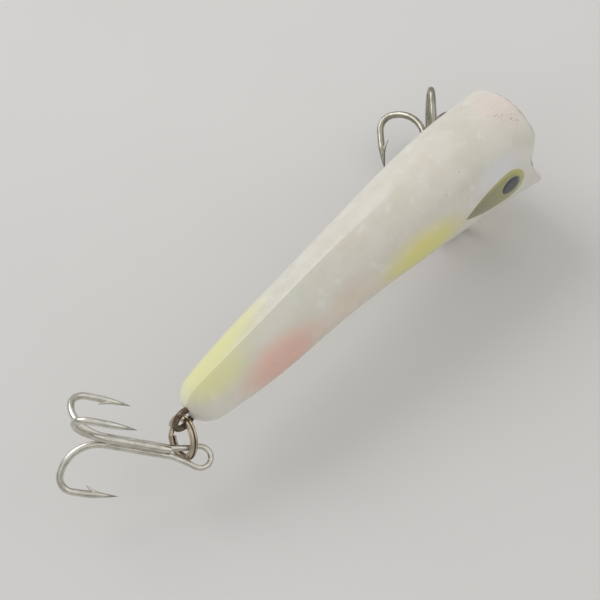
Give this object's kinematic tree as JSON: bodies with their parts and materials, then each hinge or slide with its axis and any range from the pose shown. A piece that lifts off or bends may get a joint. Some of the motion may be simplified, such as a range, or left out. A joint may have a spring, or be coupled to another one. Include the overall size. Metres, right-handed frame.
{
  "type": "topwater popper lure",
  "caption": "Hollow topwater popper with a cupped mouth, teardrop eyes, wire hangers, split rings and two treble hooks.",
  "frame": {"origin": "centre of the line-tie eye", "axes": "+X towards the mouth, +Y to the lure's left, +Z towards its back"},
  "size_m": [0.1033, 0.0338, 0.0257],
  "materials": {
    "pearl_body": "pearl paint under clear coat, with yellow and pink patches",
    "eye_plate": "olive-gold foil under clear coat",
    "pupil": "glossy blue-black",
    "hanger_wire": "stainless wire",
    "hook_nickel": "nickel plate, slightly tarnished",
    "ring_steel": "nickel with rust-brown staining",
    "braze": "dull",
    "ball_steel": "bearing ball"
  },
  "bodies": {
    "lure": {"left_body_half": "pearl_body", "right_body_half": "pearl_body", "left_eye_plate": "eye_plate", "right_eye_plate": "eye_plate", "left_pupil": "pupil", "right_pupil": "pupil", "line_tie": "hanger_wire", "belly_hanger": "hanger_wire", "tail_hanger": "hanger_wire", "tail_weight": "ball_steel"},
    "rattle": {"rattle_balls": "ball_steel"},
    "belly_ring": {"belly_split_ring": "ring_steel"},
    "belly_treble": {"belly_treble_double_hook": "hook_nickel", "belly_treble_single_hook": "hook_nickel", "belly_treble_braze": "braze"},
    "tail_ring": {"tail_split_ring": "ring_steel"},
    "tail_treble": {"tail_treble_double_hook": "hook_nickel", "tail_treble_single_hook": "hook_nickel", "tail_treble_braze": "braze"}
  },
  "joints": [
    {"name": "rattle_slide", "type": "slide", "parent": "lure", "child": "rattle", "axis": [1, 0, 0], "range_m": [-0.0033, 0.0033]},
    {"name": "belly_ring_swing", "type": "hinge", "parent": "lure", "child": "belly_ring", "pos_m": [-0.0112, 0, -0.00975], "axis": [0, 1, 0], "range_deg": [-30, 55]},
    {"name": "belly_treble_swing", "type": "hinge", "parent": "belly_ring", "child": "belly_treble", "pos_m": [-0.01184, 0.00375, -0.01406], "axis": [-0.5693, 0.1303, 0.8117], "range_deg": [0, 75]},
    {"name": "tail_ring_swing", "type": "hinge", "parent": "lure", "child": "tail_ring", "pos_m": [-0.073, 0, -0.0028], "axis": [0, 1, 0], "range_deg": [-20, 80]},
    {"name": "tail_treble_swing", "type": "hinge", "parent": "tail_ring", "child": "tail_treble", "pos_m": [-0.07582, -0.00392, -0.00631], "axis": [0.3281, -0.406, 0.8529], "range_deg": [-15, 120]}
  ]
}
